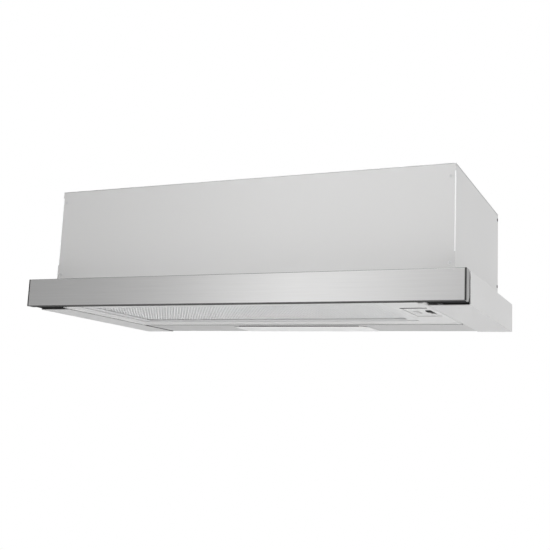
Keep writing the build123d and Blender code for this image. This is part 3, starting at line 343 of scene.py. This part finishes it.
def steel():
    """Zinc-plated steel with turned and drawn marks."""
    finish = Finish("steel")
    finish.set(Metallic=1.0)
    marks = finish.noise(1.0, 3.0, 0.6, stretch=(1200, 90, 1200))
    cloud = finish.noise(80.0, 3.0, 0.5)
    finish.link(finish.tones(cloud, grey(0.56, -0.01), grey(0.70, -0.006)), "Base Color")
    finish.link(finish.range(marks, 0.24, 0.4), "Roughness")
    finish.bump(marks, 0.008 * MM)
    return finish.material


def bronze():
    """Sintered bronze, porous and oiled."""
    finish = Finish("bronze")
    finish.set(Metallic=0.9, Coat_Weight=0.3, Coat_Roughness=0.3)
    pores = finish.cells(1300.0)
    cloud = finish.noise(150.0, 3.0, 0.5)
    finish.link(finish.tones(cloud, (0.28, 0.16, 0.06), (0.48, 0.30, 0.13)), "Base Color")
    finish.link(finish.range(pores, 0.35, 0.6), "Roughness")
    finish.bump(pores, 0.05 * MM)
    return finish.material


MATERIALS = {
    "stainless": stainless("stainless", dark=0.55, light=0.72),
    "painted_steel": painted_steel("painted_steel", grey(0.59, 0.003), grey(0.65, 0.003)),
    # A darker copy of the satin paint: painted shade on the base's rear panel underneath.
    "painted_shade_steel": painted_steel("painted_shade_steel", grey(0.485, 0.003), grey(0.535, 0.003)),
    "galvanised_steel": galvanised_steel(),
    "grey_plastic": moulded_plastic(
        "grey_plastic", grey(0.62, 0.004), grey(0.68, 0.002), roughness=0.42
    ),
    "end_plastic": moulded_plastic(
        "end_plastic", grey(0.31, 0.004), grey(0.35, 0.002), roughness=0.5
    ),
    "black_plastic": moulded_plastic(
        "black_plastic", grey(0.006), grey(0.011), roughness=0.66, sheen=0.3
    ),
    # Black plastic with almost no reflection: painted shade standing for dark gaps and cavities.
    "painted_shade_black": moulded_plastic(
        "painted_shade_black", grey(0.004), grey(0.008), roughness=0.7, sheen=0.08
    ),
    # A much darker copy of the stainless: painted shade on the fascia's folds.
    "shaded_fold": stainless("shaded_fold", dark=0.05, light=0.09),
    "dark_trim": moulded_plastic(
        "dark_trim", grey(0.028), grey(0.042), roughness=0.4, relief=0.005, sheen=0.35
    ),
    "aluminium": aluminium(),
    "aluminium_mesh": aluminium_mesh("aluminium_mesh", dark=0.90, light=0.97),
    # A darker copy of the mesh aluminium: painted shade on the foil seen through the nets.
    "foil_painted_shade": aluminium_mesh("foil_painted_shade", dark=0.62, light=0.74),
    # Near-white bare metal: the side sheets' real cut edges, brightened into a painted highlight.
    "bare_edge_painted_highlight": aluminium_mesh("bare_edge_painted_highlight", dark=0.94, light=0.99),
    "lens": lens(),
    "lamp_glass": lamp_glass(),
    "white_ceramic": white_ceramic(),
    "copper": copper(),
    "iron_core": iron_core(),
    "steel": steel(),
    "bronze": bronze(),
}
look_of_node = dict(
    slot_of_node,
    fascia_end_left="end_plastic",
    fascia_end_right="end_plastic",
    # The rear panel takes the darker copy of its paint: painted shade.
    base_rear_panel="painted_shade_steel",
    # Seals, cheek caps and fascia carrier take the reflectionless black: painted shade for the gaps
    # around them.
    base_seals="painted_shade_black",
    cheek_end_caps="painted_shade_black",
    fascia_carrier="painted_shade_black",
)
for node, part in frame["nodes"].items():
    for slot in part.material_slots:
        slot.material = MATERIALS[look_of_node[node]]


# Pieces ----------------------------------------------------------------------------
WELD_DISTANCE = 0.002 * MM
FLAT_ANGLE = math.radians(0.4)
CORNER_ANGLE = math.radians(35.0)
FACING = 0.9


def add_piece(name, mesh, nodes, sharp=35.0):
    """Shows a new mesh in place of CAD nodes, on their body and with their finish."""
    for polygon in mesh.polygons:
        polygon.use_smooth = True
    mesh.set_sharp_from_angle(angle=math.radians(sharp))
    piece = bpy.data.objects.new(name, mesh)
    bpy.context.scene.collection.objects.link(piece)
    mesh.materials.append(MATERIALS[look_of_node[nodes[0]]])
    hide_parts(*nodes)
    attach(piece, body_of_node[nodes[0]])
    return piece


def welded(node, merged=True):
    """The CAD node's shape as a mesh with shared corners and, if merged, whole flat faces."""
    shape = bmesh.new()
    shape.from_mesh(frame["nodes"][node].data)
    bmesh.ops.remove_doubles(shape, verts=shape.verts, dist=WELD_DISTANCE)
    if merged:
        bmesh.ops.dissolve_limit(
            shape, angle_limit=FLAT_ANGLE, verts=shape.verts, edges=shape.edges
        )
    return shape


def plain_mesh(name, shape):
    """A mesh with the shape's corners and faces and none of its other layers."""
    shape.verts.ensure_lookup_table()
    shape.verts.index_update()
    mesh = bpy.data.meshes.new(name)
    mesh.from_pydata(
        [v.co[:] for v in shape.verts], [], [[v.index for v in f.verts] for f in shape.faces]
    )
    mesh.validate()
    return mesh


def width_of(face):
    """About how wide a face is across its long direction."""
    return 2 * face.calc_area() / max(face.calc_perimeter(), 1e-9)


def is_corner(edge):
    """Whether the two faces at an edge meet at a real corner."""
    return len(edge.link_faces) == 2 and edge.calc_face_angle(0) > CORNER_ANGLE


def skin(node, cut=0.15, fold=None, sheet=1.4, segments=2, merged=True, clamped=False):
    """The node's shape with rounded edges: cut edges by one radius and folds by another.

    A fold is an edge between two faces that are both wider than the sheet is thick.
    """
    shape = welded(node, merged)
    largest = fold or cut
    weights = []
    for edge in shape.edges:
        weight = 0.0
        if is_corner(edge):
            broad = all(width_of(f) > sheet * MM for f in edge.link_faces)
            weight = cut / largest
            if broad and fold:
                weight = 1.0 if edge.is_convex else cut / largest
        weights.append((tuple(v.co[:] for v in edge.verts), weight))
    mesh = plain_mesh(node + "_skin", shape)
    shape.free()
    by_ends = {frozenset(ends): weight for ends, weight in weights}
    layer = mesh.attributes.new("bevel_weight_edge", "FLOAT", "EDGE")
    for edge in mesh.edges:
        ends = frozenset(tuple(mesh.vertices[i].co[:]) for i in edge.vertices)
        layer.data[edge.index].value = by_ends.get(ends, 0.0)
    piece = add_piece(node + "_skin", mesh, [node])
    bevel = piece.modifiers.new("rounding", "BEVEL")
    bevel.width = largest * MM
    bevel.segments = segments
    bevel.limit_method = "WEIGHT"
    bevel.use_clamp_overlap = clamped
    bevel.miter_outer = "MITER_SHARP"
    bevel.harden_normals = True
    return piece


def sheet_metal():
    """Folded sheets: broad outer folds and barely broken cut edges.

    The side sheets' forward-facing faces, their front edges, are bare metal made near white: part
    real, part painted highlight. The fascia's folds back from its face are a darker copy of the
    stainless, painted shade.
    """
    for node in ("base_left_cheek", "base_right_cheek"):
        skin(node, cut=0.12, fold=0.9, segments=3)
    for node in ("housing_left_side", "housing_right_side"):
        side = skin(node, cut=0.12, fold=0.9, segments=3)
        # Forward-facing faces of the side sheets take the near-white bare metal: a real cut edge
        # with a painted highlight.
        side.data.materials.append(MATERIALS["bare_edge_painted_highlight"])
        for polygon in side.data.polygons:
            polygon.material_index = 1 if polygon.normal.y < -FACING else 0
    for node in ("housing_front_panel", "housing_top_panel", "housing_back_panel", "inlet_deck"):
        skin(node, cut=0.15)
    skin("base_rear_panel", cut=0.12, fold=0.5)
    skin("lamp_housing", cut=0.1, fold=0.5, sheet=1.2)
    for node in ("drawer_side_left", "drawer_side_right", "drawer_top_cover"):
        skin(node, cut=0.12, fold=0.7)
    for node in ("rail_outer_members", "rail_middle_left", "rail_middle_right"):
        skin(node, cut=0.15, fold=0.9, sheet=1.8)
    skin("rail_inner_members", cut=0.15, fold=0.9, sheet=1.8)
    skin("filter_spring_clips", cut=0.1, fold=0.5, sheet=1.2)
    skin("motor_bracket", cut=0.2)
    fascia = skin("fascia_panel", cut=0.2, segments=3)
    # Faces of the fascia that don't face forward take the dark copy: painted shade on its folds.
    fascia.data.materials.append(MATERIALS["shaded_fold"])
    for polygon in fascia.data.polygons:
        polygon.material_index = 0 if abs(polygon.normal.y) > FACING else 1
    skin("filter_frame", cut=0.12, merged=False, clamped=True)
    for node in ("motor_cup_front", "motor_cup_rear", "scroll_left_half", "scroll_right_half"):
        skin(node, cut=0.2)
    for node in ("housing_screws", "side_rivets", "filter_pivot_pins", "damper_spindle"):
        skin(node, cut=0.12)


def mouldings():
    """Plastic parts, with the small radii that a mould leaves."""
    skin("drawer_frame", cut=0.2, merged=False)
    skin("cheek_end_caps", cut=0.4)
    skin("control_plate", cut=0.25)
    skin("switch_module", cut=0.3)
    skin("fan_slider", cut=0.2)
    skin("light_slider", cut=0.2)
    skin("fascia_carrier", cut=0.3)
    skin("fascia_end_left", cut=0.4)
    skin("fascia_end_right", cut=0.4)
    skin("fascia_trims", cut=0.3)
    skin("microswitch_body", cut=0.3)
    skin("terminal_box", cut=0.4)
    skin("terminal_box_cover", cut=0.3)
    skin("base_seals", cut=0.15)
    skin("lamp_lens", cut=0.35, segments=3)
    skin("lamp_holders", cut=0.25)
    skin("outlet_adaptor", cut=0.3)
    skin("outlet_collar", cut=0.3)
    skin("damper_flap_front", cut=0.15)
    skin("damper_flap_rear", cut=0.15)
    skin("cable_gland", cut=0.2)
    skin("capacitor", cut=0.5, segments=3)
    skin("microswitch_plunger", cut=0.15)


def rounded_block(name, low, high, rounding, node, look):
    """Block between two corners with rounded edges, shown with a node and its body."""
    shape = bmesh.new()
    bmesh.ops.create_cube(shape, size=1.0)
    bmesh.ops.scale(shape, vec=high - low, verts=shape.verts)
    bmesh.ops.translate(shape, vec=(low + high) / 2, verts=shape.verts)
    bmesh.ops.bevel(
        shape, geom=shape.edges[:], offset=rounding * MM, segments=2, affect="EDGES", profile=0.5
    )
    piece = add_piece(name, plain_mesh(name, shape), [node])
    piece.data.materials[0] = MATERIALS[look]
    shape.free()


# Size of the black strips of painted shade along the cheeks' flanges.
BEAD_WIDTH = 0.6 * MM
BEAD_THICKNESS = 0.74 * MM
BEAD_INSET = 1.0 * MM
BEAD_ROUNDING = 0.15


def flange_shade_beads():
    """Black strip along the inner edge of each cheek's flange: painted shade for the dark line at
    that edge.
    """
    low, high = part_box("base_rear_panel")
    edges = {
        "left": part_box("base_left_cheek")[1].x,
        "right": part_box("base_right_cheek")[0].x - BEAD_WIDTH,
    }
    for hand, start in edges.items():
        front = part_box(f"base_{hand}_cheek")[0].y + BEAD_INSET
        first = Vector((start, front, low.z - BEAD_THICKNESS))
        last = Vector((start + BEAD_WIDTH, high.y - BEAD_INSET, low.z))
        name = f"base_shade_bead_{hand}"
        rounded_block(name, first, last, BEAD_ROUNDING, "base_seals", "painted_shade_black")


NOTCH_HEIGHTS = {"low": 63.0 * MM, "high": 159.0 * MM}
NOTCH_HALF = 1.9 * MM
NOTCH_DEPTH = 7.8 * MM
SHADE_BLOCK_THICKNESS = 0.9 * MM
SHADE_BLOCK_RECESS = 0.05 * MM
SHADE_BLOCK_ROUNDING = 0.2


def notch_shade_blocks():
    """Black blocks in the notches at the rear edge of each side sheet: painted shade for the
    notches' dark openings.
    """
    for hand in ("left", "right"):
        node = f"housing_{hand}_side"
        low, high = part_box(node)
        start = low.x + SHADE_BLOCK_RECESS
        if hand == "right":
            start = high.x - SHADE_BLOCK_RECESS - SHADE_BLOCK_THICKNESS
        for level, height in NOTCH_HEIGHTS.items():
            first = Vector((start, high.y - NOTCH_DEPTH, height - NOTCH_HALF))
            last = Vector((start + SHADE_BLOCK_THICKNESS, high.y, height + NOTCH_HALF))
            name = f"side_notch_shade_{hand}_{level}"
            rounded_block(name, first, last, SHADE_BLOCK_ROUNDING, node, "painted_shade_black")


# Grease filter pack ----------------------------------------------------------------
SAG = 0.12 * MM
SAG_WAVES = 30
STRAND_SLIP = 0.05 * MM
FOIL_EDGE = 3.0 * MM
FOIL_FOLDS = 190


def net(name, height, pitch, strand, bond, twist, sheet, seed):
    """Expanded metal: staggered openings between slanting strands, joined at wide bonds.

    Lengths are in mm. The pitch is the openings' spacing along X and Y, and bond is the share
    of the opening's height that is kept.
    """
    low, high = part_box("filter_mesh")
    draw = random.Random(seed)
    half = (pitch[0] / 2 * MM, pitch[1] / 2 * MM)
    columns = int((high.x - low.x) / half[0]) - 1
    rows = int((high.y - low.y) / half[1]) - 1
    start = (
        (low.x + high.x - columns * half[0]) / 2,
        (low.y + high.y - rows * half[1]) / 2,
    )
    across = pitch[0] * pitch[1] / math.hypot(*pitch)
    kept = 1 - strand / across
    points, faces, corners = [], [], {}

    def sag(x, y):
        return SAG * noise.noise(Vector((x, y, seed)) * SAG_WAVES)

    def corner(column, row):
        if (column, row) not in corners:
            x, y = start[0] + column * half[0], start[1] + row * half[1]
            corners[column, row] = len(points)
            points.append((x, y, height * MM + sag(x, y)))
        return corners[column, row]

    for column in range(1, columns):
        for row in range(1, rows):
            if (column + row) % 2:
                continue
            steps = ((-1, 0), (0, -1), (1, 0), (0, 1))
            outer = [corner(column + i, row + j) for i, j in steps]
            x, y = start[0] + column * half[0], start[1] + row * half[1]
            inner = []
            for i, j in steps:
                slip = STRAND_SLIP * draw.uniform(-1, 1)
                inner.append(len(points))
                points.append(
                    (
                        x + i * half[0] * kept + slip,
                        y + j * half[1] * kept * bond + slip / 2,
                        height * MM + i * twist * MM + sag(x, y),
                    )
                )
            for k in range(4):
                after = (k + 1) % 4
                faces.append((outer[k], outer[after], inner[after], inner[k]))
    mesh = bpy.data.meshes.new(name)
    mesh.from_pydata(points, [], faces)
    thicken(add_piece(name, mesh, ["filter_mesh"], sharp=60), sheet)


def thicken(piece, sheet):
    """Gives a foil its thickness, half on each side."""
    solid = piece.modifiers.new("foil", "SOLIDIFY")
    solid.thickness = sheet * MM
    solid.offset = 0.0
    solid.use_even_offset = False


def crumpled_foil(name, height, relief, spacing, sheet, seed):
    """Knitted foil packing between the two nets, pressed into irregular folds."""
    low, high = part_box("filter_mesh")
    draw = random.Random(seed)
    columns = int((high.x - low.x - 2 * FOIL_EDGE) / (spacing * MM))
    rows = int((high.y - low.y - 2 * FOIL_EDGE) / (spacing * MM))
    points = []
    for row in range(rows + 1):
        for column in range(columns + 1):
            x = low.x + FOIL_EDGE + column * spacing * MM
            y = low.y + FOIL_EDGE + row * spacing * MM
            fold = noise.noise(Vector((x, y, seed)) * FOIL_FOLDS) + 0.5 * draw.uniform(-1, 1)
            points.append((x, y, (height + relief * fold) * MM))
    width = columns + 1
    faces = [
        (k, k + 1, k + 1 + width, k + width)
        for row in range(rows)
        for k in range(row * width, row * width + columns)
    ]
    mesh = bpy.data.meshes.new(name)
    mesh.from_pydata(points, [], faces)
    piece = add_piece(name, mesh, ["filter_mesh"], sharp=25)
    thicken(piece, sheet)
    return piece


def filter_pack():
    """Fine net below, coarser net above and the folded foil between them."""
    net(
        "filter_mesh_lower",
        height=3.42,
        pitch=(4.3, 7.2),
        strand=1.05,
        bond=0.85,
        twist=0.22,
        sheet=0.2,
        seed=3,
    )
    core = crumpled_foil(
        "filter_mesh_core", height=4.3, relief=0.35, spacing=2.0, sheet=0.08, seed=5
    )
    # The foil takes the darker copy: painted shade between the nets.
    core.data.materials[0] = MATERIALS["foil_painted_shade"]
    net(
        "filter_mesh_upper",
        height=5.5,
        pitch=(9.0, 5.0),
        strand=1.0,
        bond=0.85,
        twist=0.2,
        sheet=0.25,
        seed=8,
    )


sheet_metal()
mouldings()
flange_shade_beads()
notch_shade_blocks()
filter_pack()


# Camera and light ------------------------------------------------------------------
CAMERA_PLACE = Vector((0.5046, -1.1133, -0.1364))
CAMERA_YAW = 0.4260
CAMERA_PITCH = 0.1613
CAMERA_ROLL = 0.0457
CAMERA_LENS = 58.27
CAMERA_SENSOR = 36.0
FLOOR_RADIUS = 2.4
FLOOR_HEIGHT = -0.8


def add_camera():
    """Camera below and to the right of the fascia, looking slightly up at it."""
    data = bpy.data.cameras.new("camera")
    data.lens = CAMERA_LENS
    data.sensor_width = CAMERA_SENSOR
    data.clip_start = 0.01
    camera = bpy.data.objects.new("camera", data)
    bpy.context.scene.collection.objects.link(camera)
    turn = (
        Matrix.Rotation(CAMERA_YAW, 4, "Z")
        @ Matrix.Rotation(math.pi / 2 + CAMERA_PITCH, 4, "X")
        @ Matrix.Rotation(CAMERA_ROLL, 4, "Z")
    )
    camera.matrix_world = Matrix.Translation(CAMERA_PLACE) @ turn
    bpy.context.scene.camera = camera


def add_softbox(name, place, target, size, radiance, spread=180.0):
    """Rectangular lamp that shines from a place towards a target, its spread in degrees."""
    data = bpy.data.lights.new(name, "AREA")
    data.shape = "RECTANGLE"
    data.size, data.size_y = size
    data.spread = math.radians(spread)
    data.energy = radiance * math.pi * size[0] * size[1]
    lamp = bpy.data.objects.new(name, data)
    bpy.context.scene.collection.objects.link(lamp)
    lamp.location = place
    lamp.rotation_mode = "QUATERNION"
    lamp.rotation_quaternion = (Vector(target) - Vector(place)).to_track_quat("-Z", "Y")


def spread(nodes, links, value, start, end, low, high):
    """A value from low to high as another goes from start to end."""
    node = nodes.new("ShaderNodeMapRange")
    node.inputs["From Min"].default_value = start
    node.inputs["From Max"].default_value = end
    node.inputs["To Min"].default_value = low
    node.inputs["To Max"].default_value = high
    links.new(value, node.inputs["Value"])
    return node.outputs["Result"]


def product(nodes, links, first, second):
    """One value times another."""
    node = nodes.new("ShaderNodeMath")
    node.operation = "MULTIPLY"
    links.new(first, node.inputs[0])
    links.new(second, node.inputs[1])
    return node.outputs["Value"]


def add_world():
    """White studio, dimmer in front, at the left and below; white where it shows."""
    world = bpy.data.worlds.new("studio")
    bpy.context.scene.world = world
    world.use_nodes = True
    nodes, links = world.node_tree.nodes, world.node_tree.links
    background = nodes["Background"]
    place = nodes.new("ShaderNodeTexCoord")
    split = nodes.new("ShaderNodeSeparateXYZ")
    links.new(place.outputs["Generated"], split.inputs["Vector"])
    depth = spread(nodes, links, split.outputs["Y"], start=-1.0, end=0.6, low=0.50, high=1.0)
    side = spread(nodes, links, split.outputs["X"], start=-0.75, end=-0.15, low=0.68, high=1.0)
    below = spread(nodes, links, split.outputs["Z"], start=-0.35, end=0.05, low=0.66, high=1.0)
    level = product(nodes, links, product(nodes, links, depth, side), below)
    seen = nodes.new("ShaderNodeLightPath")
    white = nodes.new("ShaderNodeMix")
    links.new(seen.outputs["Is Camera Ray"], white.inputs["Factor"])
    links.new(level, white.inputs["A"])
    white.inputs["B"].default_value = 1.0
    background.inputs["Color"].default_value = (1, 1, 1, 1)
    links.new(white.outputs["Result"], background.inputs["Strength"])


def add_floor():
    """Pale round studio floor, well below the hood, which hangs on its wall screws."""
    finish = Finish("floor_finish")
    cloud = finish.noise(3.0, 3.0, 0.5)
    grain = finish.noise(300.0, 3.0, 0.6)
    finish.link(finish.tones(cloud, grey(0.84), grey(0.88)), "Base Color")
    finish.link(finish.range(grain, 0.55, 0.7), "Roughness")
    finish.bump(grain, 0.05 * MM)
    shape = bmesh.new()
    bmesh.ops.create_circle(shape, cap_ends=True, segments=96, radius=FLOOR_RADIUS)
    mesh = bpy.data.meshes.new("floor")
    shape.to_mesh(mesh)
    shape.free()
    mesh.materials.append(finish.material)
    floor = bpy.data.objects.new("floor", mesh)
    floor.location = (0, 0, FLOOR_HEIGHT)
    bpy.context.scene.collection.objects.link(floor)


bpy.context.scene.view_settings.view_transform = "Standard"
add_camera()
add_world()
add_floor()
add_softbox(
    "front_softbox",
    place=(-0.68, -2.1, 0.45),
    target=(0.05, -0.15, 0.05),
    size=(0.5, 1.6),
    radiance=1.6,
)
add_softbox(
    "key_softbox",
    place=(0.3, -1.3, 2.0),
    target=(0.1, -0.1, -0.14),
    size=(1.0, 0.8),
    radiance=1.1,
    spread=36.0,
)
add_softbox(
    "floor_bounce",
    place=(0.4, -0.1, -0.7),
    target=(0.1, 0.0, 0.0),
    size=(1.6, 1.4),
    radiance=0.5,
)
